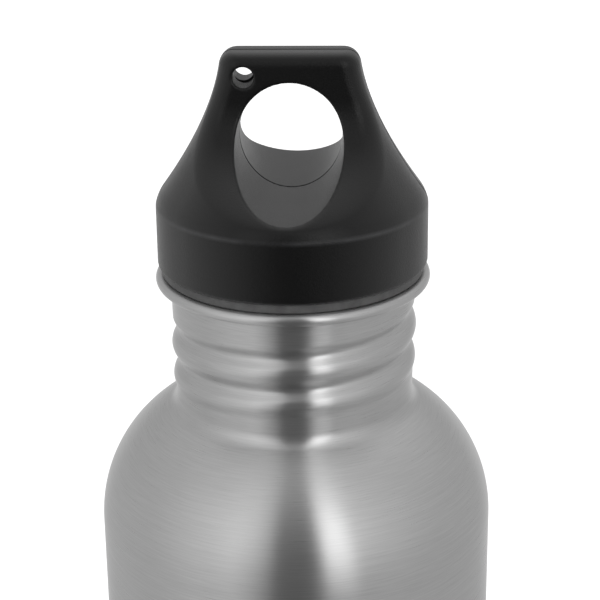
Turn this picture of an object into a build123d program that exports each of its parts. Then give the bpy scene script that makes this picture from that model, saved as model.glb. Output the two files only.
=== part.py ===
from build123d import *
from math import asin, cos, degrees, pi, radians, sin, sqrt
import os

# Stainless water bottle with a screw cap whose top is a carrying loop.
# Millimetres, +Z up. The origin is the centre of the foot ring on the resting plane,
# the bottle axis is Z, and the two faces of the loop look along -Y (front) and +Y (back).

# ---- Driving dimensions: bottle ----
RIM_HEIGHT = 217.0          # centre of the rolled bead above the resting plane
BODY_RADIUS = 37.0
SHEET = 0.5                 # steel wall
SHOULDER_RADIUS = 26.0
SHOULDER_DROP = 47.9        # rim bead centre down to the end of the straight wall
NECK_ROOT_RADIUS = 22.1     # outside of the neck where it meets the shoulder
NECK_TOP_RADIUS = 22.5      # outside of the neck just under the bead
NECK_FILLET = 3.0
BEAD_CENTRE_RADIUS = 24.12
BEAD_TUBE_RADIUS = 1.064
CURL_END_ANGLE = 60.0       # how far the bead curls back up past its lowest point
LIP_RADIUS = BEAD_CENTRE_RADIUS - NECK_TOP_RADIUS + SHEET    # quarter circle from neck to bead

# ---- Driving dimensions: base ----
BASE_SEAM_HEIGHT = 7.0      # weld between body and base
BASE_CORNER_RADIUS = 5.0
FOOT_INNER_RADIUS = 29.0
RECESS_RADIUS = 26.5
RECESS_HEIGHT = 3.2
BASE_SHEET = 0.6

# ---- Driving dimensions: rolled thread, right-handed ----
THREAD_PITCH = 6.35
NECK_THREAD_LOW = -16.92    # groove centre at its lower end, measured from the bead centre
NECK_THREAD_START = 130.0   # degrees about Z at the lower end
NECK_THREAD_TURNS = 1.76
GROOVE_DEPTH = 1.0
GROOVE_HALF_WIDTH = 1.9     # at the neck's outside

# ---- Driving dimensions: cap. Heights are measured from the rim bead's centre ----
SKIRT_RADIUS = 24.7
SKIRT_BOTTOM = 2.94
SKIRT_EDGE = 0.45           # chamfer round the skirt's lower edge
SKIRT_TOP = 14.1
DOME_TOP = 15.7             # the dome ends here and the loop's sides start
DOME_TOP_RADIUS = 24.12
LOOP_TOP = 41.85
LOOP_EDGE = 2.2             # round along the loop's top edges
LOOP_HALF_WIDTH = 12.35     # at the top, before the edge rounds
LOOP_SIDE_POWER = 1.63      # how the sides sweep in from the dome
LOOP_HALF_THICKNESS = 4.7
FLARE_TOP = 34.0            # the loop's faces are parallel above this height
LOOP_FACE_POWER = 2.15      # how the scooped faces sweep in
SCOOP_HALF_GAP = 26.7       # half the distance between the scooped faces at the dome's top
LOOP_CORNER = 2.3           # round between the scooped faces and the turned sides
SWEEP_POINT_COUNT = 24      # points that carry each swept curve
CUT_SPARE = 1.0             # cutting shapes reach this far past what they cut
SHELL = 2.0
HOLE_HALF_WIDTH = 9.35
HOLE_HALF_HEIGHT = 10.15
HOLE_CENTRE = 26.65
LANYARD_RADIUS = 1.9
LANYARD_X = -8.1
LANYARD_HEIGHT = 37.8
LANYARD_WALL = 1.5
RIB_BORE = 19.5             # rib above the flange groove
RIB_THICKNESS = 2.0
PEG_X = 14.5
PEG_HEIGHT = 20.5
PEG_RADIUS = 1.5
PEG_LENGTH = 3.0
SOCKET_SPARE = 0.5          # the sockets are deeper than the pegs by this much
BOSS_RADIUS = 3.2

# ---- Driving dimensions: plug and seal ----
PLUG_RADIUS = 20.6
PLUG_WALL = 1.8
PLUG_DEPTH = 18.5           # bead centre down to the plug's lower face
PLUG_CHAMFER = 1.0
PLUG_PASS = 0.3             # room round the plug where it goes down through the cap
PLUG_THREAD_RADIUS = 21.7
PLUG_THREAD_TIP_HALF = 0.45
PLUG_THREAD_TURNS = 1.34
PLUG_THREAD_START = -12.0
PLUG_THREAD_RAISE = 0.75    # the plug's ridge sits this far above mid-gap, under the neck's ridge
FLANGE_RADIUS = 22.7
FLANGE_BOTTOM = 4.5
FLANGE_THICKNESS = 2.0
KEY_RADIUS = 23.5
KEY_WIDTH = 5.0
FIT = 0.05                  # gap between moulded cap pieces
SEAL_RADIUS = 24.0
SEAL_BORE_RADIUS = 20.75
SEAL_GAP = 0.02             # between the seal and the bead, and the seal and the skirt


def rim(height):
    """Height above the resting plane of a height given from the bead's centre."""
    return RIM_HEIGHT + height


def save(name, shape):
    export_step(shape, f"parts/{name}.step")


def revolved(edges):
    """Solid of revolution about Z of the closed outline that the edges make in the XZ plane."""
    return revolve(Plane.XZ * make_face(edges), Axis.Z)


def arc_about(centre, radius, start, end):
    """Arc about a centre, from one angle to another, in degrees."""
    points = []
    for angle in (start, (start + end) / 2, end):
        points.append((centre[0] + radius * cos(radians(angle)), centre[1] + radius * sin(radians(angle))))
    return ThreePointArc(*points)


def chain(*steps):
    """Closed list of edges: each step is an edge, and a straight line fills every gap."""
    edges = []
    for index, step in enumerate(steps):
        following = steps[(index + 1) % len(steps)]
        edges.append(step)
        if (step @ 1 - following @ 0).length > 1e-6:
            edges.append(Line(step @ 1, following @ 0))
    return edges


def helical(profile_points, radius, low, turns, start_angle):
    """Ridge or groove of a thread: (radius, height) points swept up a helix."""
    path = Helix(pitch=THREAD_PITCH, height=turns * THREAD_PITCH, radius=radius, center=(0, 0, low))
    placed = []
    for point_radius, point_height in profile_points:
        placed.append((point_radius, low + point_height))
    profile = Plane.XZ * make_face(Polyline(*placed, close=True))
    return Rot(0, 0, start_angle) * sweep(profile, path=path, is_frenet=True)


# ---- Bottle body ----

def bottle_blank(inset):
    """Everything inside the bottle wall's surface that lies an inset below the outside."""
    shoulder_centre = (BODY_RADIUS - SHOULDER_RADIUS, rim(-SHOULDER_DROP))
    fillet_reach = SHOULDER_RADIUS + NECK_FILLET
    fillet_x = NECK_ROOT_RADIUS + NECK_FILLET
    fillet_rise = sqrt(fillet_reach ** 2 - (fillet_x - shoulder_centre[0]) ** 2)
    fillet_centre = (fillet_x, shoulder_centre[1] + fillet_rise)
    meeting_angle = degrees(asin(fillet_rise / fillet_reach))
    shoulder = arc_about(shoulder_centre, SHOULDER_RADIUS - inset, 0, meeting_angle)
    fillet_arc = arc_about(fillet_centre, NECK_FILLET + inset, meeting_angle + 180, 180)
    lip_start = rim(BEAD_TUBE_RADIUS - LIP_RADIUS)
    neck = Line(fillet_arc @ 1, (NECK_TOP_RADIUS - inset, lip_start))
    top = Line(neck @ 1, (0, lip_start))
    floor = Line((0, BASE_SEAM_HEIGHT), (BODY_RADIUS - inset, BASE_SEAM_HEIGHT))
    return revolved(chain(floor, shoulder, fillet_arc, neck, top))


def rolled_lip():
    """Sheet that turns out of the neck, over the bead and back under it."""
    bead = (BEAD_CENTRE_RADIUS, rim(0))
    lip = (BEAD_CENTRE_RADIUS, rim(BEAD_TUBE_RADIUS - LIP_RADIUS))
    end = -90 - CURL_END_ANGLE
    return revolved(chain(
        arc_about(lip, LIP_RADIUS, 180, 90),
        arc_about(bead, BEAD_TUBE_RADIUS, 90, end),
        arc_about(bead, BEAD_TUBE_RADIUS - SHEET, end, 90),
        arc_about(lip, LIP_RADIUS - SHEET, 90, 180),
    ))


def groove_profile():
    """Trapezium with 45 degree flanks, reaching in from outside the neck."""
    outside = NECK_TOP_RADIUS + SHEET
    tip = NECK_TOP_RADIUS - GROOVE_DEPTH
    tip_half = GROOVE_HALF_WIDTH - GROOVE_DEPTH
    outside_half = GROOVE_HALF_WIDTH + SHEET
    return [(tip, -tip_half), (outside, -outside_half), (outside, outside_half), (tip, tip_half)]


def ridge_profile():
    """The same trapezium one sheet thickness further in, ending inside the neck's wall."""
    tip = NECK_TOP_RADIUS - GROOVE_DEPTH - SHEET
    root = NECK_TOP_RADIUS - SHEET / 2
    tip_half = GROOVE_HALF_WIDTH - GROOVE_DEPTH - SHEET + SHEET * sqrt(2)
    root_half = tip_half + (root - tip)
    return [(tip, -tip_half), (root, -root_half), (root, root_half), (tip, tip_half)]


def bottle_body():
    shell = bottle_blank(0) - bottle_blank(SHEET)
    low = rim(NECK_THREAD_LOW)
    ridge = helical(ridge_profile(), NECK_TOP_RADIUS, low, NECK_THREAD_TURNS, NECK_THREAD_START)
    end_wall = SHEET / (2 * pi * NECK_TOP_RADIUS)
    groove = helical(
        groove_profile(),
        NECK_TOP_RADIUS,
        low + end_wall * THREAD_PITCH,
        NECK_THREAD_TURNS - 2 * end_wall,
        NECK_THREAD_START + 360 * end_wall,
    )
    return shell + ridge - groove + rolled_lip()


# ---- Bottle base ----

def bottle_base():
    """Pressed cup: rounded corner, flat foot ring and a raised middle, welded to the body."""
    corner_x = BODY_RADIUS - BASE_CORNER_RADIUS
    corner = (corner_x, BASE_CORNER_RADIUS)
    return revolved(chain(
        Line((BODY_RADIUS - BASE_SHEET, BASE_SEAM_HEIGHT), (BODY_RADIUS, BASE_SEAM_HEIGHT)),
        arc_about(corner, BASE_CORNER_RADIUS, 0, -90),
        Line((FOOT_INNER_RADIUS, 0), (RECESS_RADIUS, RECESS_HEIGHT - BASE_SHEET)),
        Line((0, RECESS_HEIGHT - BASE_SHEET), (0, RECESS_HEIGHT)),
        Line((RECESS_RADIUS + BASE_SHEET / 2, RECESS_HEIGHT), (FOOT_INNER_RADIUS + BASE_SHEET / 2, BASE_SHEET)),
        arc_about(corner, BASE_CORNER_RADIUS - BASE_SHEET, -90, 0),
    ))


# ---- Cap shells ----

def loop_half_width(height):
    """Outside half width of the loop: it sweeps in from the dome and straightens upward."""
    remaining = (LOOP_TOP - height) / (LOOP_TOP - DOME_TOP)
    return LOOP_HALF_WIDTH + (DOME_TOP_RADIUS - LOOP_HALF_WIDTH) * remaining ** LOOP_SIDE_POWER


def loop_half_thickness(height):
    """Outside half thickness: the scooped faces flare out to meet the round dome."""
    remaining = (FLARE_TOP - min(height, FLARE_TOP)) / (FLARE_TOP - DOME_TOP)
    return LOOP_HALF_THICKNESS + (SCOOP_HALF_GAP - LOOP_HALF_THICKNESS) * remaining ** LOOP_FACE_POWER


def swept(half_size, low, high, inset, side=1):
    """Curve of a half size from one height up to another, mirrored when side is -1."""
    points = []
    for index in range(SWEEP_POINT_COUNT):
        height = low + (high - low) * index / (SWEEP_POINT_COUNT - 1)
        points.append((side * (half_size(height) - inset), rim(height)))
    return Spline(*points)


def turned_form(inset):
    """Dome and loop as a turned form from the skirt's top up, before the scoops thin it."""
    low = rim(SKIRT_TOP)
    sides = swept(loop_half_width, DOME_TOP, LOOP_TOP - inset, inset)
    return revolved(chain(
        Line((0, low), (SKIRT_RADIUS - inset, low)),
        sides,
        Line((0, rim(LOOP_TOP - inset)), (0, low)),
    ))


def between_scoops(inset):
    """Bar along X that holds all that the front and back scoops leave."""
    back = swept(loop_half_thickness, SKIRT_TOP - CUT_SPARE, LOOP_TOP + CUT_SPARE, inset)
    front = swept(loop_half_thickness, SKIRT_TOP - CUT_SPARE, LOOP_TOP + CUT_SPARE, inset, -1)
    outline = make_face([back, front, Line(back @ 0, front @ 0), Line(back @ 1, front @ 1)])
    return Pos(-2 * SKIRT_RADIUS, 0, 0) * extrude(Plane.YZ * outline, amount=4 * SKIRT_RADIUS)


def loop_form(inset):
    return turned_form(inset) & between_scoops(inset)


def is_scoop_rim(edge):
    """True for the long edges between a scoop and the turned sides."""
    is_long = edge.bounding_box().size.Z > LOOP_TOP - FLARE_TOP
    off_the_seam = abs((edge @ 0.5).Y) > LOOP_HALF_THICKNESS / 2
    return is_long and off_the_seam


def cap_blank():
    """The cap as if it were solid, with its outside edges rounded."""
    loop = loop_form(0)
    loop = fillet([edge for edge in loop.edges() if is_scoop_rim(edge)], LOOP_CORNER)
    loop = fillet(loop.faces().sort_by(Axis.Z)[-1].edges(), LOOP_EDGE)
    bottom = rim(SKIRT_BOTTOM)
    skirt = revolved(chain(
        Line((0, bottom), (SKIRT_RADIUS - SKIRT_EDGE, bottom)),
        Line((SKIRT_RADIUS, bottom + SKIRT_EDGE), (SKIRT_RADIUS, rim(SKIRT_TOP))),
        Line((0, rim(SKIRT_TOP)), (0, bottom)),
    ))
    return skirt + loop


def cap_hollow():
    """Everything the cap shells leave open inside: plug bore, flange groove and loop cavity."""
    bore = PLUG_RADIUS + PLUG_PASS
    groove_low = rim(FLANGE_BOTTOM - FIT)
    groove_high = rim(FLANGE_BOTTOM + FLANGE_THICKNESS + FIT)
    rib_high = groove_high + RIB_THICKNESS
    below = rim(SKIRT_BOTTOM) - CUT_SPARE
    cavity = SKIRT_RADIUS - SHELL
    round_hollow = revolved([
        *Polyline(
            (0, below),
            (bore, below),
            (bore, groove_low),
            (FLANGE_RADIUS + FIT, groove_low),
            (FLANGE_RADIUS + FIT, groove_high),
            (RIB_BORE, groove_high),
            (RIB_BORE, rib_high),
            (cavity, rib_high),
            (cavity, rim(SKIRT_TOP)),
            (0, rim(SKIRT_TOP)),
            close=True,
        ).edges()
    ])
    return round_hollow + loop_form(SHELL)


def across(outline, centre_x, height):
    """Extrude a flat outline right through the cap along Y."""
    placed = Plane.XZ * Pos(centre_x, rim(height)) * outline
    return extrude(placed, amount=2 * SKIRT_RADIUS, both=True)


def keyways(grow):
    """Two keys at the seam that stop the plug turning in the cap."""
    length = KEY_RADIUS - RIB_BORE + grow
    centre = RIB_BORE + length / 2
    height = FLANGE_THICKNESS + 2 * grow
    block = Box(length, KEY_WIDTH + 2 * grow, height)
    middle = rim(FLANGE_BOTTOM + FLANGE_THICKNESS / 2)
    return [Pos(side * centre, 0, middle) * block for side in (-1, 1)]


def inner_walls():
    """Bars along Y round the hole, the lanyard hole and the pegs, that stay solid inside."""
    walls = across(Ellipse(HOLE_HALF_WIDTH + SHELL, HOLE_HALF_HEIGHT + SHELL), 0, HOLE_CENTRE)
    walls += across(Circle(LANYARD_RADIUS + LANYARD_WALL), LANYARD_X, LANYARD_HEIGHT)
    for side in (-1, 1):
        walls += across(Circle(BOSS_RADIUS), side * PEG_X, PEG_HEIGHT)
    return walls


def cap_shell():
    """Both cap halves as one body, before it is parted at the seam."""
    shell = cap_blank() - (cap_hollow() - inner_walls())
    shell -= across(Ellipse(HOLE_HALF_WIDTH, HOLE_HALF_HEIGHT), 0, HOLE_CENTRE)
    shell -= across(Circle(LANYARD_RADIUS), LANYARD_X, LANYARD_HEIGHT)
    for keyway in keyways(FIT):
        shell -= keyway
    return shell


def pegs(radius, length):
    """The two round pegs, or their sockets, that line the halves up, reaching into +Y."""
    made = []
    for side in (-1, 1):
        disc = Plane.XZ * Pos(side * PEG_X, rim(PEG_HEIGHT)) * Circle(radius)
        made.append(extrude(disc, amount=-length))
    return made


def cap_shell_front(shell):
    half = split(shell, Plane.XZ, keep=Keep.TOP)
    for peg in pegs(PEG_RADIUS, PEG_LENGTH):
        half += peg
    return half


def cap_shell_back(shell):
    half = split(shell, Plane.XZ, keep=Keep.BOTTOM)
    for socket in pegs(PEG_RADIUS + FIT, PEG_LENGTH + SOCKET_SPARE):
        half -= socket
    return half


# ---- Plug and seal ----

def cap_plug():
    """Hollow moulded plug: flange held between the cap halves, threaded core in the neck."""
    bottom = rim(-PLUG_DEPTH)
    flange_low = rim(FLANGE_BOTTOM)
    flange_high = flange_low + FLANGE_THICKNESS
    inside = PLUG_RADIUS - PLUG_WALL
    plug = revolved([
        *Polyline(
            (0, bottom),
            (PLUG_RADIUS - PLUG_CHAMFER, bottom),
            (PLUG_RADIUS, bottom + PLUG_CHAMFER),
            (PLUG_RADIUS, flange_low),
            (FLANGE_RADIUS, flange_low),
            (FLANGE_RADIUS, flange_high),
            (inside, flange_high),
            (inside, bottom + PLUG_WALL),
            (0, bottom + PLUG_WALL),
            close=True,
        ).edges()
    ])
    for key in keyways(0):
        plug += key - Pos(0, 0, rim(FLANGE_BOTTOM)) * Cylinder(RIB_BORE + 1, 4 * FLANGE_THICKNESS)
    turns_up = (PLUG_THREAD_START - NECK_THREAD_START) / 360
    low = rim(NECK_THREAD_LOW + (turns_up + 0.5) * THREAD_PITCH + PLUG_THREAD_RAISE)
    root = PLUG_RADIUS - PLUG_WALL / 2
    root_half = PLUG_THREAD_TIP_HALF + PLUG_THREAD_RADIUS - root
    tip_half = PLUG_THREAD_TIP_HALF
    profile = [
        (root, -root_half),
        (PLUG_THREAD_RADIUS, -tip_half),
        (PLUG_THREAD_RADIUS, tip_half),
        (root, root_half),
    ]
    return plug + helical(profile, PLUG_RADIUS, low, PLUG_THREAD_TURNS, PLUG_THREAD_START)


def cap_seal():
    low = rim(BEAD_TUBE_RADIUS + SEAL_GAP)
    high = rim(SKIRT_BOTTOM - SEAL_GAP)
    ring = Cylinder(SEAL_RADIUS, high - low) - Cylinder(SEAL_BORE_RADIUS, high - low)
    return Pos(0, 0, (low + high) / 2) * ring


def main():
    os.makedirs("parts", exist_ok=True)
    shell = cap_shell()
    save("bottle_body", bottle_body())
    save("bottle_base", bottle_base())
    save("cap_shell_front", cap_shell_front(shell))
    save("cap_shell_back", cap_shell_back(shell))
    save("cap_plug", cap_plug())
    save("cap_seal", cap_seal())


main()
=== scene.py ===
from math import asin, cos, degrees, pi, radians, sin, sqrt

import bpy
import numpy as np
from mathutils import Matrix, Vector


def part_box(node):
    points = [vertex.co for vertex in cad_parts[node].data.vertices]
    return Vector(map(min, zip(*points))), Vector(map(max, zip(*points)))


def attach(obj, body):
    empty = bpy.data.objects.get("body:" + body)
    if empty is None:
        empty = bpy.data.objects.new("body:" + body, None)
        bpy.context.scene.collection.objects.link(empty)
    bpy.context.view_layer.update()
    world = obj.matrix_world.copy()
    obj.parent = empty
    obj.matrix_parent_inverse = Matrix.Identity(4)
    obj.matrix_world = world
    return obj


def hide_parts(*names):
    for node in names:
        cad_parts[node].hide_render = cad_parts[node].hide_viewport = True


# Looks of a brushed steel water bottle with a black loop cap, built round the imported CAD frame.
# Shapes are worked out in millimetres, with heights measured from the centre of the rim's rolled
# bead, and placed in the frame in metres by add_piece.

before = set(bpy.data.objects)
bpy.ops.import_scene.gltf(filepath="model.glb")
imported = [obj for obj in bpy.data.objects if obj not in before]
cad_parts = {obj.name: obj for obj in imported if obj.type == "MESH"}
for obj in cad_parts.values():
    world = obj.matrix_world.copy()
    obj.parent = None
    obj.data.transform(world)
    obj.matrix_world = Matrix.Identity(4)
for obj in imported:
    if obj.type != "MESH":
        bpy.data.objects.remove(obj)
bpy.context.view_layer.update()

MM = 0.001
body_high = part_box("bottle_body")[1]
base_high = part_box("bottle_base")[1]
cap_low, cap_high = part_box("cap_shell_front")
plug_low, plug_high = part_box("cap_plug")
seal_low, seal_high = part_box("cap_seal")

# ---- Bottle sizes, mm ----
BEAD_TUBE = 1.064
RIM = body_high[2] / MM - BEAD_TUBE        # height of the bead's centre above the resting plane
BODY_RADIUS = body_high[0] / MM
SHEET = 0.5
SHOULDER_RADIUS = 26.0
SHOULDER_DROP = 47.9
NECK_ROOT_RADIUS = 22.1
NECK_TOP_RADIUS = 22.5
NECK_FILLET = 3.0
BEAD_CENTRE = 24.12
CURL_END = -150.0
LIP_RADIUS = BEAD_CENTRE - NECK_TOP_RADIUS + SHEET
SEAM = base_high[2] / MM - RIM             # weld between body and base
BASE_CORNER = 5.0
FOOT_INNER_RADIUS = 29.0
RECESS_RADIUS = 26.5
RECESS_HEIGHT = 3.2
BASE_SHEET = 0.6

# ---- Rolled thread, right-handed ----
PITCH = 6.35
THREAD_LOW = -16.92
THREAD_START = 130.0
THREAD_TURNS = 1.76
GROOVE_DEPTH = 1.0
GROOVE_HALF_WIDTH = 2.1
CREST_RISE = 0.38                          # the wall stands proud just below each groove
RUN_OUT = 28.0                             # degrees over which the groove fades in and out

# ---- Cap sizes, mm ----
SKIRT_RADIUS = cap_high[0] / MM
SKIRT_BOTTOM = cap_low[2] / MM - RIM
SKIRT_TOP = 14.1
LOOP_TOP = cap_high[2] / MM - RIM
DOME_TOP = 15.7
DOME_TOP_RADIUS = 24.12
DOME_EDGE = 0.20                           # softness of the crease between skirt and dome
SWEEP_BLEND = 0.3                          # softness of the line between dome and loop
LOOP_HALF_WIDTH = 12.35
LOOP_HALF_THICKNESS = 4.7
FLARE_TOP = 34.0
SCOOP_HALF_GAP = 26.7                      # half the distance between the faces, at the dome's top
LOOP_CORNER = 2.6                          # round between the turned form and the scoops
LOOP_EDGE = 2.3                            # round along the loop's top edges
SKIRT_EDGE = 0.4                           # round along the skirt's lower edge
LONGEST_SWEEP = 1.2                        # how far down both sweeps keep growing, in their own heights
SIDE_SWEEP = 1.63                          # how fast the loop's sides sweep in, as a power
FACE_SWEEP = 2.15                          # and its faces
SHELL = 2.0
HOLE_HALF_WIDTH = 9.2
HOLE_HALF_HEIGHT = 10.15
HOLE_CENTRE = 26.65
HOLE_EDGE = 0.45
HOLE_DRAFT = 0.055                         # the hole widens from the seam out to both faces
LANYARD_RADIUS = 1.9
LANYARD_X = -8.1
LANYARD_HEIGHT = 37.8
LANYARD_WALL = 1.5
LANYARD_EDGE = 0.3                         # round on the lanyard hole's rims
BACK_HOLE_STEP = 0.25                      # the back half's lanyard hole is this far outward and up
SEAM_EDGE = 0.28                           # round on each half's edge at the seam
SEAM_GAP = 0.03

# ---- Plug and seal sizes, mm ----
PLUG_RADIUS = 20.6
PLUG_WALL = 1.8
PLUG_BOTTOM = plug_low[2] / MM - RIM
PLUG_RIDGE = 1.1
PLUG_RIDGE_HALF = 1.5
PLUG_TURNS = 1.34
PLUG_START = -12.0
PLUG_RAISE = 0.75
PLUG_BORE = 20.9
FLANGE_RADIUS = 22.7
FLANGE_BOTTOM = 4.5
FLANGE_TOP = plug_high[2] / MM - RIM
FLANGE_THICKNESS = 2.0
FLANGE_FIT = 0.05                          # gap between the flange and its groove
PLUG_CORNER = 1.0
RIB_BORE = 19.5
RIB_TOP = 8.55
SEAL_RADIUS = seal_high[0] / MM
SEAL_BORE = 20.75
SEAL_LOW = seal_low[2] / MM - RIM
SEAL_HIGH = seal_high[2] / MM - RIM
SEAL_ROUND = 0.45

# ---- Meshing, mm ----
TURN_SEGMENTS = 288
CELL = 0.34                                # grid step of the moulded shells' meshing
GRID_SPARE = 3 * CELL                      # the grid reaches this far past a shell
CUT_SPARE = 1.0                            # cutting shapes reach this far past what they cut
SLOPE_STEP = 0.01                          # step over which a field's slope is measured
LEAST_SLOPE = 0.05                         # squared slopes below this don't lengthen a step
POLE_GAP = 0.5                             # radius of the first ring round a closed end's middle
SAME_RADIUS = 0.01                         # radii this close count as the same


# ---- Mesh building ----

def add_piece(name, points, faces, body, slot, *nodes):
    """Mesh object from points in rim-centred millimetres, riding on a body in place of CAD nodes."""
    placed = (np.asarray(points) + (0, 0, RIM)) * MM
    mesh = bpy.data.meshes.new(name)
    mesh.from_pydata(placed.tolist(), [], [list(face) for face in faces])
    mesh.polygons.foreach_set("use_smooth", [True] * len(mesh.polygons))
    mesh.update()
    piece = bpy.data.objects.new(name, mesh)
    bpy.context.scene.collection.objects.link(piece)
    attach(piece, body)
    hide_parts(*nodes)
    return piece


def arc(centre, radius, start, end, count):
    """Points of an arc, angles in degrees, without its last point."""
    angles = np.radians(np.linspace(start, end, count, endpoint=False))
    return [(centre[0] + radius * cos(a), centre[1] + radius * sin(a)) for a in angles]


def line(start, end, count=1):
    """Points of a straight line without its last point."""
    steps = np.linspace(0, 1, count, endpoint=False)
    return [(start[0] + (end[0] - start[0]) * s, start[1] + (end[1] - start[1]) * s) for s in steps]


def lathe(profile, radial_shift=None):
    """Points and faces of a closed (radius, height) profile turned about Z.

    radial_shift(radius, height, angle) moves points in or out, which makes the threads.
    """
    profile = np.array(profile)
    angles = np.linspace(0, 2 * pi, TURN_SEGMENTS, endpoint=False)
    radius, angle = np.meshgrid(profile[:, 0], angles, indexing="ij")
    height = np.repeat(profile[:, 1:], TURN_SEGMENTS, axis=1)
    if radial_shift:
        radius = radius + radial_shift(radius, height, angle)
    points = np.stack([radius * np.cos(angle), radius * np.sin(angle), height], axis=-1)
    count = len(profile)
    index = np.arange(count * TURN_SEGMENTS).reshape(count, TURN_SEGMENTS)
    above = np.roll(index, -1, axis=0)
    ahead = np.roll(index, -1, axis=1)
    corner = np.roll(above, -1, axis=1)
    faces = np.stack([index, ahead, corner, above], axis=-1).reshape(-1, 4)
    return points.reshape(-1, 3), faces


def disc_lathe(profile, radial_shift=None):
    """Like lathe, for an open profile that starts and ends on the axis."""
    profile = np.array(profile)
    inner = profile[1:-1]
    points, faces = lathe(inner, radial_shift)
    faces = faces[: (len(inner) - 1) * TURN_SEGMENTS]
    first = np.arange(TURN_SEGMENTS)
    last = first + (len(inner) - 1) * TURN_SEGMENTS
    poles = np.array([[0, 0, profile[0, 1]], [0, 0, profile[-1, 1]]])
    low_pole, high_pole = len(points), len(points) + 1
    fans = [[low_pole, b, a] for a, b in zip(first, np.roll(first, -1))]
    fans += [[high_pole, a, b] for a, b in zip(last, np.roll(last, -1))]
    return np.vstack([points, poles]), faces.tolist() + fans


def thread_bump(height, angle, low, start, turns, half_width):
    """1 on a helix's line, falling to 0 at half_width above and below it and past its ends."""
    bump = np.zeros_like(height)
    for turn in range(-1, 3):
        along = np.degrees(angle) - start + 360 * turn
        centre = low + PITCH * along / 360
        across = np.clip(np.abs(height - centre) / half_width, 0, 1)
        from_end = np.minimum(along, 360 * turns - along)
        fade = np.clip(from_end / RUN_OUT, 0, 1)
        fade = fade * fade * (3 - 2 * fade)
        bump = np.maximum(bump, (0.5 + 0.5 * np.cos(pi * across)) * fade)
    return bump


# ---- Bottle body: one closed skin, up the outside, round the rolled bead and down the inside ----

def neck_wall_points(inset, count):
    """Shoulder, fillet and neck of the outside, or of the inside with a sheet's inset."""
    centre = (BODY_RADIUS - SHOULDER_RADIUS, -SHOULDER_DROP)
    reach = SHOULDER_RADIUS + NECK_FILLET
    fillet_x = NECK_ROOT_RADIUS + NECK_FILLET
    rise = sqrt(reach ** 2 - (fillet_x - centre[0]) ** 2)
    meeting = degrees(asin(rise / reach))
    fillet = (fillet_x, centre[1] + rise)
    neck_foot = (fillet_x - NECK_FILLET - inset, fillet[1])
    neck_head = (NECK_TOP_RADIUS - inset, BEAD_TUBE - LIP_RADIUS)
    points = line((BODY_RADIUS - inset, SEAM), (BODY_RADIUS - inset, centre[1]), 24)
    points += arc(centre, SHOULDER_RADIUS - inset, 0, meeting, 60)
    points += arc(fillet, NECK_FILLET + inset, meeting + 180, 180, 16)
    points += line(neck_foot, neck_head, count)
    return points + [neck_head]


def neck_groove(radius, height, angle):
    """The rolled thread presses the neck's wall in, and leaves it proud just under each groove."""
    groove = thread_bump(height, angle, THREAD_LOW, THREAD_START, THREAD_TURNS, GROOVE_HALF_WIDTH)
    crest_low = THREAD_LOW - PITCH / 2
    crest = thread_bump(height, angle, crest_low, THREAD_START, THREAD_TURNS, GROOVE_HALF_WIDTH)
    in_neck = radius < NECK_TOP_RADIUS + SAME_RADIUS
    return np.where(in_neck, CREST_RISE * crest - GROOVE_DEPTH * groove, 0)


def bottle_body():
    """One closed skin: outside wall, bead with its curl, and the inside wall back down."""
    lip = (BEAD_CENTRE, BEAD_TUBE - LIP_RADIUS)
    bead = (BEAD_CENTRE, 0)
    profile = neck_wall_points(0, 96)
    profile += arc(lip, LIP_RADIUS - SHEET, 180, 90, 10)[1:]
    profile += arc(bead, BEAD_TUBE - SHEET, 90, CURL_END, 20)
    profile += arc(bead, BEAD_TUBE, CURL_END, 90, 36)
    profile += arc(lip, LIP_RADIUS, 90, 180, 14)
    profile += neck_wall_points(SHEET, 96)[::-1]
    points, faces = lathe(profile, neck_groove)
    return add_piece("bottle_body_skin", points, faces, "bottle", "steel", "bottle_body")


# ---- Bottle base ----

def bottle_base():
    """Pressed cup with a rounded corner, a flat foot ring and a raised middle."""
    floor = -RIM
    corner = (BODY_RADIUS - BASE_CORNER, floor + BASE_CORNER)
    under = floor + RECESS_HEIGHT - BASE_SHEET
    over = floor + RECESS_HEIGHT
    curl = BASE_SHEET / 2
    outer_step = line((FOOT_INNER_RADIUS, floor), (RECESS_RADIUS, under), 8)
    inner_step = line((RECESS_RADIUS + curl, over), (FOOT_INNER_RADIUS + curl, floor + BASE_SHEET), 8)
    profile = [(0, under)]
    profile += line((POLE_GAP, under), (RECESS_RADIUS, under), 10)
    profile += outer_step[::-1]
    profile += line((FOOT_INNER_RADIUS, floor), (corner[0], floor), 4)[1:]
    profile += arc(corner, BASE_CORNER, -90, 0, 18)
    profile += line((BODY_RADIUS, corner[1]), (BODY_RADIUS, SEAM), 3)
    profile += [(BODY_RADIUS, SEAM), (BODY_RADIUS - BASE_SHEET, SEAM)]
    profile += arc(corner, BASE_CORNER - BASE_SHEET, 0, -90, 12)
    profile += inner_step[::-1]
    profile += line((RECESS_RADIUS, over), (POLE_GAP, over), 10)
    profile += [(0, over)]
    points, faces = disc_lathe(profile)
    return add_piece("bottle_base_skin", points, faces, "bottle", "steel", "bottle_base")


# ---- Cap halves: a distance field of the moulding, meshed on a grid and pulled onto the surface ----

def rounded_max(a, b, radius):
    """Intersection of two fields whose shared edge is rounded."""
    outside = np.hypot(np.maximum(a + radius, 0), np.maximum(b + radius, 0))
    return outside + np.minimum(np.maximum(a, b) + radius, 0) - radius


def soft_min(a, b, reach):
    """Smaller of two values, blended where they are within reach of each other."""
    mix = np.clip(0.5 + 0.5 * (b - a) / reach, 0, 1)
    return b + (a - b) * mix - reach * mix * (1 - mix)


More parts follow.
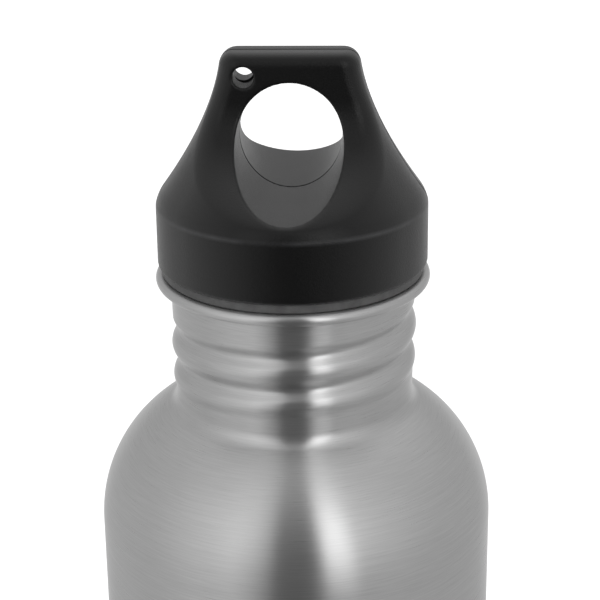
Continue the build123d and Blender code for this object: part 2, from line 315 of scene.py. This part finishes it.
def dome_radius(z):
    """Radius of the skirt, and above its crease of the cone that the loop grows out of."""
    above = z - SKIRT_TOP
    slope = (SKIRT_RADIUS - DOME_TOP_RADIUS) / (DOME_TOP - SKIRT_TOP)
    return SKIRT_RADIUS - slope * (above + np.hypot(above, DOME_EDGE)) / 2


def loop_half_width(z):
    """The sides sweep in from the dome and straighten upward."""
    remaining = np.clip((LOOP_TOP - z) / (LOOP_TOP - DOME_TOP), 0, LONGEST_SWEEP)
    return LOOP_HALF_WIDTH + (DOME_TOP_RADIUS - LOOP_HALF_WIDTH) * remaining ** SIDE_SWEEP


def loop_half_thickness(z):
    """The faces flare out to meet the dome, and are parallel above FLARE_TOP."""
    flare = np.clip((FLARE_TOP - z) / (FLARE_TOP - DOME_TOP), 0, LONGEST_SWEEP)
    return LOOP_HALF_THICKNESS + (SCOOP_HALF_GAP - LOOP_HALF_THICKNESS) * flare ** FACE_SWEEP


def cap_outside(x, y, z):
    """Field of the cap's outside: a turned form, narrowed by the scoops of its two faces."""
    turned = np.hypot(x, y) - soft_min(dome_radius(z), loop_half_width(z), SWEEP_BLEND)
    side = rounded_max(turned, np.abs(y) - loop_half_thickness(z), LOOP_CORNER)
    side = rounded_max(side, z - LOOP_TOP, LOOP_EDGE)
    return rounded_max(side, SKIRT_BOTTOM - z, SKIRT_EDGE)


def oval_hole(x, z, widen, grow):
    """Field of the loop's oval hole, negative inside it."""
    a = HOLE_HALF_WIDTH + grow + widen
    b = HOLE_HALF_HEIGHT + grow
    scaled = np.hypot(x / a, (z - HOLE_CENTRE) / b)
    slope = np.hypot(x / a ** 2, (z - HOLE_CENTRE) / b ** 2)
    return scaled * (scaled - 1) / np.maximum(slope, 1e-6)


def cap_hollow(x, y, z):
    """Field of the space inside the shells, negative inside it."""
    radius = np.hypot(x, y)
    above_rib = np.maximum(cap_outside(x, y, z) + SHELL, RIB_TOP - z)
    above_rib = np.maximum(above_rib, -oval_hole(x, z, 0, SHELL))
    boss = np.hypot(x - LANYARD_X, z - LANYARD_HEIGHT) - LANYARD_RADIUS - LANYARD_WALL
    above_rib = np.maximum(above_rib, -boss)
    rib = np.maximum(radius - RIB_BORE, z - RIB_TOP - CUT_SPARE)
    bore = np.maximum(radius - PLUG_BORE, z - FLANGE_BOTTOM)
    off_middle = np.abs(z - FLANGE_BOTTOM - FLANGE_THICKNESS / 2)
    groove_half = FLANGE_THICKNESS / 2 + FLANGE_FIT
    groove = np.maximum(radius - FLANGE_RADIUS - FLANGE_FIT, off_middle - groove_half)
    return np.minimum(np.minimum(above_rib, rib), np.minimum(bore, groove))


def cap_half(side):
    """Field of one half: side -1 is the front half, +1 the back half."""
    shift = BACK_HOLE_STEP if side > 0 else 0.0

    def field(x, y, z):
        solid = cap_outside(x, y, z)
        solid = rounded_max(solid, -oval_hole(x, z, HOLE_DRAFT * np.abs(y), 0), HOLE_EDGE)
        lanyard = np.hypot(x - LANYARD_X + shift, z - LANYARD_HEIGHT - shift) - LANYARD_RADIUS
        solid = rounded_max(solid, -lanyard, LANYARD_EDGE)
        solid = rounded_max(solid, SEAM_GAP - side * y, SEAM_EDGE)
        return np.maximum(solid, -cap_hollow(x, y, z))

    return field


def grid_net(field, low, high):
    """Points and quads where the field is zero: one point per crossed grid cell (surface nets)."""
    axes = [np.arange(low[i], high[i] + CELL, CELL) for i in range(3)]
    values = field(*np.meshgrid(*axes, indexing="ij"))
    inside = values < 0
    shape = np.array(values.shape) - 1
    total = np.zeros(tuple(shape) + (3,))
    count = np.zeros(tuple(shape))
    starts = np.stack(np.meshgrid(*[axis[:-1] for axis in axes], indexing="ij"), axis=-1)
    for axis in range(3):
        others = [i for i in range(3) if i != axis]
        for first in (0, 1):
            for second in (0, 1):
                offset = [0, 0, 0]
                offset[others[0]] = first
                offset[others[1]] = second
                a = values[tuple(slice(offset[i], offset[i] + shape[i]) for i in range(3))]
                offset[axis] = 1
                b = values[tuple(slice(offset[i], offset[i] + shape[i]) for i in range(3))]
                crossed = (a < 0) != (b < 0)
                share = np.where(crossed, a / np.where(crossed, a - b, 1), 0)
                offset[axis] = 0
                place = starts + np.array(offset) * CELL
                place[..., axis] += share * CELL
                total += np.where(crossed[..., None], place, 0)
                count += crossed
    used = count > 0
    number = np.full(tuple(shape), -1)
    number[used] = np.arange(used.sum())
    points = total[used] / count[used][:, None]
    quads = []
    for axis in range(3):
        u, v = [(1, 2), (2, 0), (0, 1)][axis]
        ahead = [slice(None)] * 3
        here = [slice(None)] * 3
        here[axis] = slice(0, -1)
        ahead[axis] = slice(1, None)
        changes = inside[tuple(here)] != inside[tuple(ahead)]
        rows = np.argwhere(changes)
        rows = rows[(rows[:, u] > 0) & (rows[:, v] > 0) & (rows[:, u] < shape[u]) & (rows[:, v] < shape[v])]
        ring = []
        for du, dv in ((1, 1), (0, 1), (0, 0), (1, 0)):
            cell = rows.copy()
            cell[:, u] -= du
            cell[:, v] -= dv
            ring.append(number[tuple(cell.T)])
        ring = np.stack(ring, axis=-1)
        outward = inside[tuple(rows.T)]
        ring[~outward] = ring[~outward][:, ::-1]
        quads.append(ring)
    return points, np.vstack(quads)


def pull_onto(points, field, rounds=3):
    """Newton steps that bring grid points onto the field's zero surface."""
    for _ in range(rounds):
        here = field(*points.T)
        slopes = []
        for direction in np.eye(3):
            there = field(*(points + direction * SLOPE_STEP).T)
            slopes.append((there - here) / SLOPE_STEP)
        slope = np.stack(slopes, axis=-1)
        move = here[:, None] * slope / np.maximum((slope ** 2).sum(axis=1), LEAST_SLOPE)[:, None]
        points = points - np.clip(move, -CELL / 2, CELL / 2)
    return points


def cap_shell(name, side, node):
    """One moulded half: side -1 is the front half, +1 the back half."""
    reach = SKIRT_RADIUS + GRID_SPARE
    near, far = (-reach, 2 * CELL) if side < 0 else (-2 * CELL, reach)
    field = cap_half(side)
    low = (-reach, near, SKIRT_BOTTOM - GRID_SPARE)
    high = (reach, far, LOOP_TOP + GRID_SPARE)
    points, faces = grid_net(field, low, high)
    return add_piece(name, pull_onto(points, field), faces, "cap", "cap", node)


# ---- Plug and seal ----

def plug_ridge(radius, height, angle):
    """The plug's thread stands out of its straight wall, between the turns of the neck's thread."""
    turns_up = (PLUG_START - THREAD_START) / 360
    low = THREAD_LOW + (turns_up + 0.5) * PITCH + PLUG_RAISE
    bump = thread_bump(height, angle, low, PLUG_START, PLUG_TURNS, PLUG_RIDGE_HALF)
    return np.where(np.abs(radius - PLUG_RADIUS) < SAME_RADIUS, PLUG_RIDGE * bump, 0)


def cap_plug():
    """Hollow plug: threaded wall, rounded lower corner and the flange held in the cap."""
    inside = PLUG_RADIUS - PLUG_WALL
    floor = PLUG_BOTTOM + PLUG_WALL
    profile = [(0, PLUG_BOTTOM)]
    corner = (PLUG_RADIUS - PLUG_CORNER, PLUG_BOTTOM + PLUG_CORNER)
    profile += line((POLE_GAP, PLUG_BOTTOM), (corner[0], PLUG_BOTTOM), 8)
    profile += arc(corner, PLUG_CORNER, -90, 0, 8)
    profile += line((PLUG_RADIUS, corner[1]), (PLUG_RADIUS, FLANGE_BOTTOM), 90)
    off_wall = PLUG_RADIUS + 2 * SAME_RADIUS   # so the ridge leaves the flange's foot alone
    profile += line((off_wall, FLANGE_BOTTOM), (FLANGE_RADIUS, FLANGE_BOTTOM), 3)
    profile += line((FLANGE_RADIUS, FLANGE_BOTTOM), (FLANGE_RADIUS, FLANGE_TOP), 3)
    profile += line((FLANGE_RADIUS, FLANGE_TOP), (inside, FLANGE_TOP), 3)
    profile += line((inside, FLANGE_TOP), (inside, floor), 12)
    profile += line((inside, floor), (POLE_GAP, floor), 6)
    profile += [(0, floor)]
    points, faces = disc_lathe(profile, plug_ridge)
    return add_piece("cap_plug_moulding", points, faces, "cap", "cap", "cap_plug")


def cap_seal():
    """Ring with rounded edges between the skirt and the rolled rim."""
    profile = []
    corners = (
        (SEAL_RADIUS - SEAL_ROUND, SEAL_LOW + SEAL_ROUND, -90),
        (SEAL_RADIUS - SEAL_ROUND, SEAL_HIGH - SEAL_ROUND, 0),
        (SEAL_BORE + SEAL_ROUND, SEAL_HIGH - SEAL_ROUND, 90),
        (SEAL_BORE + SEAL_ROUND, SEAL_LOW + SEAL_ROUND, 180),
    )
    for x, z, start in corners:
        end = start + 90
        profile += arc((x, z), SEAL_ROUND, start, end, 6)
        profile += arc((x, z), SEAL_ROUND, end, end, 1)
    points, faces = lathe(profile)
    return add_piece("cap_seal_ring", points, faces, "seal", "seal", "cap_seal")


# ---- Materials: scales are per metre ----
FINE_BRUSHING = (6.0, 9000.0)              # how fast the marks change round the bottle, and along it
COARSE_BRUSHING = (4.0, 3600.0)
STEEL_CLOUDS = 45.0
MOULD_GRAIN = 3600.0
MOULD_PATCHES = 90.0
# Painted highlight: a light line along the crease between skirt and dome, fading over this many mm.
CREASE_HIGHLIGHT_REACH = 0.6                    # mm above and below the crease
SILICONE_BLOOM = 500.0


class Nodes:
    """Small helper that adds and links shader nodes."""

    def __init__(self, tree):
        self.tree = tree

    def add(self, kind, **inputs):
        node = self.tree.nodes.new("ShaderNode" + kind)
        for name, value in inputs.items():
            self.set(node, name.replace("_", " "), value)
        return node

    def set(self, node, name, value):
        socket = node.inputs[int(name)] if name.isdigit() else node.inputs[name]
        if isinstance(value, bpy.types.NodeSocket):
            self.tree.links.new(value, socket)
        else:
            socket.default_value = value

    def math(self, operation, *values):
        node = self.tree.nodes.new("ShaderNodeMath")
        node.operation = operation
        for index, value in enumerate(values):
            self.set(node, str(index), value)
        return node.outputs[0]

    def ramp(self, value, *stops):
        """Value mapped through (position, grey) stops."""
        node = self.tree.nodes.new("ShaderNodeValToRGB")
        elements = node.color_ramp.elements
        while len(elements) < len(stops):
            elements.new(0.5)
        for element, (position, grey) in zip(elements, stops):
            element.position = position
            element.color = (grey, grey, grey, 1)
        self.set(node, "Fac", value)
        return node.outputs["Color"]


def new_material(name):
    """A material, its node helper and its shader."""
    material = bpy.data.materials.new(name)
    material.use_nodes = True
    nodes = Nodes(material.node_tree)
    shader = material.node_tree.nodes["Principled BSDF"]
    return material, nodes, shader


def turned_coordinates(nodes, around, along):
    """Coordinates that run round the bottle and along its profile, for marks of the brushing."""
    place = nodes.add("TexCoord").outputs["Object"]
    parts = nodes.add("SeparateXYZ", Vector=place)
    x, y, z = parts.outputs
    angle = nodes.math("ARCTAN2", y, x)
    squares = nodes.math("ADD", nodes.math("MULTIPLY", x, x), nodes.math("MULTIPLY", y, y))
    radius = nodes.math("SQRT", squares)
    profile = nodes.math("SUBTRACT", z, radius)
    across = nodes.math("MULTIPLY", nodes.math("COSINE", angle), around)
    deep = nodes.math("MULTIPLY", nodes.math("SINE", angle), around)
    joined = nodes.add("CombineXYZ", X=across, Y=deep, Z=nodes.math("MULTIPLY", profile, along))
    return joined.outputs[0]


def noise(nodes, vector, scale, detail=2.0, roughness=0.5):
    """Grey noise, 0 to 1."""
    node = nodes.add("TexNoise", Vector=vector, Scale=scale, Detail=detail, Roughness=roughness)
    return node.outputs["Fac"]


def brushed_steel():
    """Stainless sheet brushed round the bottle: fine turned lines, soft wide reflections."""
    material, nodes, shader = new_material("brushed_steel")
    fine = noise(nodes, turned_coordinates(nodes, *FINE_BRUSHING), 1.0, 3.0, 0.6)
    coarse = noise(nodes, turned_coordinates(nodes, *COARSE_BRUSHING), 1.0, 2.0)
    lines = nodes.math("ADD", nodes.math("MULTIPLY", fine, 0.5), nodes.math("MULTIPLY", coarse, 0.5))
    place = nodes.add("TexCoord").outputs["Object"]
    clouds = noise(nodes, place, STEEL_CLOUDS, 3.0)
    tint = nodes.ramp(lines, (0.3, 0.575), (0.7, 0.695))
    nodes.set(shader, "Base Color", tint)
    shader.inputs["Metallic"].default_value = 1.0
    rough = nodes.math("ADD", nodes.math("MULTIPLY", lines, 0.12), nodes.math("MULTIPLY", clouds, 0.06))
    nodes.set(shader, "Roughness", nodes.math("ADD", rough, 0.205))
    shader.inputs["Anisotropic"].default_value = 1.0
    shader.inputs["Anisotropic Rotation"].default_value = 0.25
    tangent = nodes.add("Tangent")
    tangent.direction_type = "RADIAL"
    tangent.axis = "Z"
    nodes.set(shader, "Tangent", tangent.outputs[0])
    bump = nodes.add("Bump", Strength=0.3, Distance=0.00002, Height=lines)
    nodes.set(shader, "Normal", bump.outputs[0])
    return material


def moulded_plastic():
    """Black polypropylene with a fine eroded mould texture. Its edges are a little lighter, partly wear and
    partly painted highlight, and a painted highlight runs along the skirt's crease.
    """
    material, nodes, shader = new_material("moulded_plastic")
    place = nodes.add("TexCoord").outputs["Object"]
    grain = noise(nodes, place, MOULD_GRAIN, 2.0, 0.6)
    patches = noise(nodes, place, MOULD_PATCHES, 3.0)
    # Edges a little lighter by pointiness: partly wear, partly a painted highlight on the rounded edges.
    pointed = nodes.add("NewGeometry").outputs["Pointiness"]
    edge = nodes.ramp(pointed, (0.53, 0.0), (0.60, 1.0))
    height = nodes.add("SeparateXYZ", Vector=place).outputs[2]
    # Painted highlight: the base colour is lighter in a thin band along the skirt's crease, broken up in
    # patches.
    off_crease = nodes.math("ABSOLUTE", nodes.math("SUBTRACT", height, (RIM + SKIRT_TOP) * MM))
    crease = nodes.ramp(nodes.math("DIVIDE", off_crease, MM), (0.0, 1.0), (CREASE_HIGHLIGHT_REACH, 0.0))
    shade = nodes.math("ADD", 0.0005, nodes.math("MULTIPLY", grain, 0.004))
    shade = nodes.math("ADD", shade, nodes.math("MULTIPLY", edge, 0.012))
    painted_crease_highlight = nodes.math("MULTIPLY", crease, nodes.ramp(patches, (0.4, 0.012), (0.6, 0.05)))
    shade = nodes.math("ADD", shade, painted_crease_highlight)
    facing = nodes.add("LayerWeight", Blend=0.5).outputs["Facing"]
    nodes.set(shader, "Specular IOR Level", nodes.ramp(facing, (0.1, 0.35), (0.45, 0.85), (0.7, 0.6)))
    tone = nodes.add("CombineColor", Red=shade, Green=shade, Blue=nodes.math("MULTIPLY", shade, 1.05))
    nodes.set(shader, "Base Color", tone.outputs[0])
    rough = nodes.math("ADD", 0.29, nodes.math("MULTIPLY", patches, 0.08))
    nodes.set(shader, "Roughness", nodes.math("ADD", rough, nodes.math("MULTIPLY", grain, 0.06)))
    shader.inputs["Sheen Weight"].default_value = 0.17
    shader.inputs["Sheen Roughness"].default_value = 0.35
    bump = nodes.add("Bump", Strength=0.5, Distance=0.0001, Height=grain)
    nodes.set(shader, "Normal", bump.outputs[0])
    return material


def silicone():
    """Dark grey silicone with a faint dusty bloom."""
    material, nodes, shader = new_material("silicone")
    place = nodes.add("TexCoord").outputs["Object"]
    bloom = noise(nodes, place, SILICONE_BLOOM, 3.0)
    shade = nodes.ramp(bloom, (0.3, 0.10), (0.7, 0.15))
    nodes.set(shader, "Base Color", shade)
    nodes.set(shader, "Roughness", nodes.math("ADD", 0.45, nodes.math("MULTIPLY", bloom, 0.15)))
    bump = nodes.add("Bump", Strength=0.2, Distance=0.00005, Height=bloom)
    nodes.set(shader, "Normal", bump.outputs[0])
    return material


# ---- Studio ----

# Brightness of the studio by direction round the bottle, in degrees to the right of the camera:
# above the horizon, with a strip light on each side of the camera, and below it.
UPPER = (
    (-180, 0.42), (-150, 0.46), (-120, 0.50), (-85, 0.58), (-60, 0.80), (-42, 0.98),
    (-33, 1.12), (-22, 0.95), (-13, 0.55), (-8, 0.12), (14, 0.08), (16.5, 0.50),
    (19.5, 1.95), (31, 2.30), (36, 1.15), (47, 0.90), (60, 0.74), (85, 0.56),
    (120, 0.50), (150, 0.46), (180, 0.42),
)
LOWER = (
    (-180, 1.00), (-165, 0.85), (-140, 0.58), (-90, 0.52), (-60, 0.58), (-35, 0.56),
    (-20, 0.30), (-10, 0.12), (12, 0.12), (30, 0.26), (60, 0.45), (90, 0.48),
    (140, 0.52), (165, 0.82), (180, 1.00),
)
HORIZON = ((-0.12, 0.0), (0.06, 1.0))      # sine of the elevation, and the upper part's share
GAP_CLOSING = 0.5                          # share by which the dark gap narrows per unit of height
GAP_LEVEL = 0.26                           # sine of the elevation where the gap is as listed
GAP_REACH = radians(25)                    # directions further round than this are not moved
OVERHEAD = 0.60                            # brightness straight above
# Sine of the elevation, and the overhead light's share.
OVERHEAD_BLEND = ((0.30, 0.0), (0.57, 0.25), (0.75, 0.52), (0.90, 0.72), (1.0, 1.0))
BACK_LIGHT = (0.1, 0.55, 0.83)             # direction of a soft light above and behind
# Cosine of the angle to the back light, and the share of it that shows.
BACK_LIGHT_BLEND = ((0.72, 0.0), (0.97, 1.0))
BACK_LIGHT_LEVEL = 0.20


def by_sine(nodes, sine, stops):
    """Value mapped through (sine of an elevation, value) stops."""
    share = nodes.math("ADD", 0.5, nodes.math("MULTIPLY", sine, 0.5))
    return nodes.ramp(share, *[(0.5 + stop / 2, value) for stop, value in stops])


def by_direction(nodes, turn, stops):
    """Value mapped through (degrees to the right of the camera, value) stops."""
    share = nodes.math("ADD", 0.5, nodes.math("DIVIDE", turn, 2 * pi))
    return nodes.ramp(share, *[(0.5 + angle / 360, value) for angle, value in stops])


def mixed(nodes, low, high, share):
    """Low at share 0, high at share 1."""
    kept = nodes.math("MULTIPLY", low, nodes.math("SUBTRACT", 1.0, share))
    return nodes.math("ADD", kept, nodes.math("MULTIPLY", high, share))


def studio_world():
    """Soft studio: strip lights at the sides, a dark gap at the camera, even light above."""
    world = bpy.data.worlds.new("studio")
    bpy.context.scene.world = world
    world.use_nodes = True
    nodes = Nodes(world.node_tree)
    background = world.node_tree.nodes["Background"]
    place = nodes.add("TexCoord").outputs["Generated"]
    parts = nodes.add("SeparateXYZ", Vector=place)
    x, y, z = parts.outputs
    turn = nodes.math("ARCTAN2", x, nodes.math("MULTIPLY", y, -1.0))
    near = nodes.math("MAXIMUM", nodes.math("MINIMUM", turn, GAP_REACH), -GAP_REACH)
    closing = nodes.math("MULTIPLY", nodes.math("SUBTRACT", z, GAP_LEVEL), GAP_CLOSING)
    turn_above = nodes.math("ADD", turn, nodes.math("MULTIPLY", near, closing))
    above = by_direction(nodes, turn_above, UPPER)
    below = by_direction(nodes, turn, LOWER)
    light = mixed(nodes, below, above, by_sine(nodes, z, HORIZON))
    light = mixed(nodes, light, OVERHEAD, by_sine(nodes, z, OVERHEAD_BLEND))
    towards = nodes.add("VectorMath")
    towards.operation = "DOT_PRODUCT"
    nodes.set(towards, "0", place)
    nodes.set(towards, "1", BACK_LIGHT)
    lobe = by_sine(nodes, towards.outputs["Value"], BACK_LIGHT_BLEND)
    light = nodes.math("ADD", light, nodes.math("MULTIPLY", lobe, BACK_LIGHT_LEVEL))
    camera_ray = nodes.add("LightPath").outputs["Is Camera Ray"]
    nodes.set(background, "Strength", nodes.math("MAXIMUM", light, camera_ray))
    background.inputs["Color"].default_value = (1, 1, 1, 1)


def studio_floor():
    """Pale floor at the resting plane, not part of the object."""
    size = 3.0
    mesh = bpy.data.meshes.new("studio_floor")
    corners = [(-size, -size, 0), (size, -size, 0), (size, size, 0), (-size, size, 0)]
    mesh.from_pydata(corners, [], [(0, 1, 2, 3)])
    plane = bpy.data.objects.new("studio_floor", mesh)
    bpy.context.scene.collection.objects.link(plane)
    material, nodes, shader = new_material("pale_floor")
    shader.inputs["Base Color"].default_value = (0.9, 0.9, 0.9, 1)
    shader.inputs["Roughness"].default_value = 0.8
    shader.inputs["Emission Color"].default_value = (1, 1, 1, 1)
    shader.inputs["Emission Strength"].default_value = 0.6
    mesh.materials.append(material)
    plane.visible_glossy = False
    plane.visible_diffuse = False


# ---- Camera ----
CAMERA_LENS = 111.3                        # mm
CAMERA_SENSOR = 36.0                       # mm
CAMERA_AZIMUTH = 2.75                      # degrees round the bottle, to the right of the front
CAMERA_PITCH = 21.18                       # degrees downward
CAMERA_ROLL = -0.73                        # degrees
CAMERA_DISTANCE = 343.47                   # mm
CAMERA_TARGET = (1.22, 0.0, -5.5)          # mm, from the rim bead's centre


def camera():
    """Camera that sees the bottle as the photo does."""
    pitch = radians(CAMERA_PITCH)
    roll = radians(CAMERA_ROLL)
    forward = Vector((0, cos(pitch), -sin(pitch)))
    level_right = Vector((1, 0, 0))
    level_up = Vector((0, sin(pitch), cos(pitch)))
    right = level_right * cos(roll) + level_up * sin(roll)
    up = level_up * cos(roll) - level_right * sin(roll)
    target = Vector(CAMERA_TARGET) + Vector((0, 0, RIM))
    eye = (target - forward * CAMERA_DISTANCE) * MM
    stand = Matrix((right, up, -forward)).transposed().to_4x4()
    stand.translation = eye
    data = bpy.data.cameras.new("photo_camera")
    data.lens = CAMERA_LENS
    data.sensor_width = CAMERA_SENSOR
    seen = bpy.data.objects.new("photo_camera", data)
    bpy.context.scene.collection.objects.link(seen)
    seen.matrix_world = Matrix.Rotation(radians(CAMERA_AZIMUTH), 4, "Z") @ stand
    bpy.context.scene.camera = seen


def main():
    steel = brushed_steel()
    plastic = moulded_plastic()
    rubber = silicone()
    painted = (
        (bottle_body(), steel),
        (bottle_base(), steel),
        (cap_shell("cap_front_half", -1, "cap_shell_front"), plastic),
        (cap_shell("cap_back_half", 1, "cap_shell_back"), plastic),
        (cap_plug(), plastic),
        (cap_seal(), rubber),
    )
    for piece, material in painted:
        piece.data.materials.append(material)
    studio_floor()
    studio_world()
    camera()
    bpy.context.scene.view_settings.view_transform = "Standard"


main()
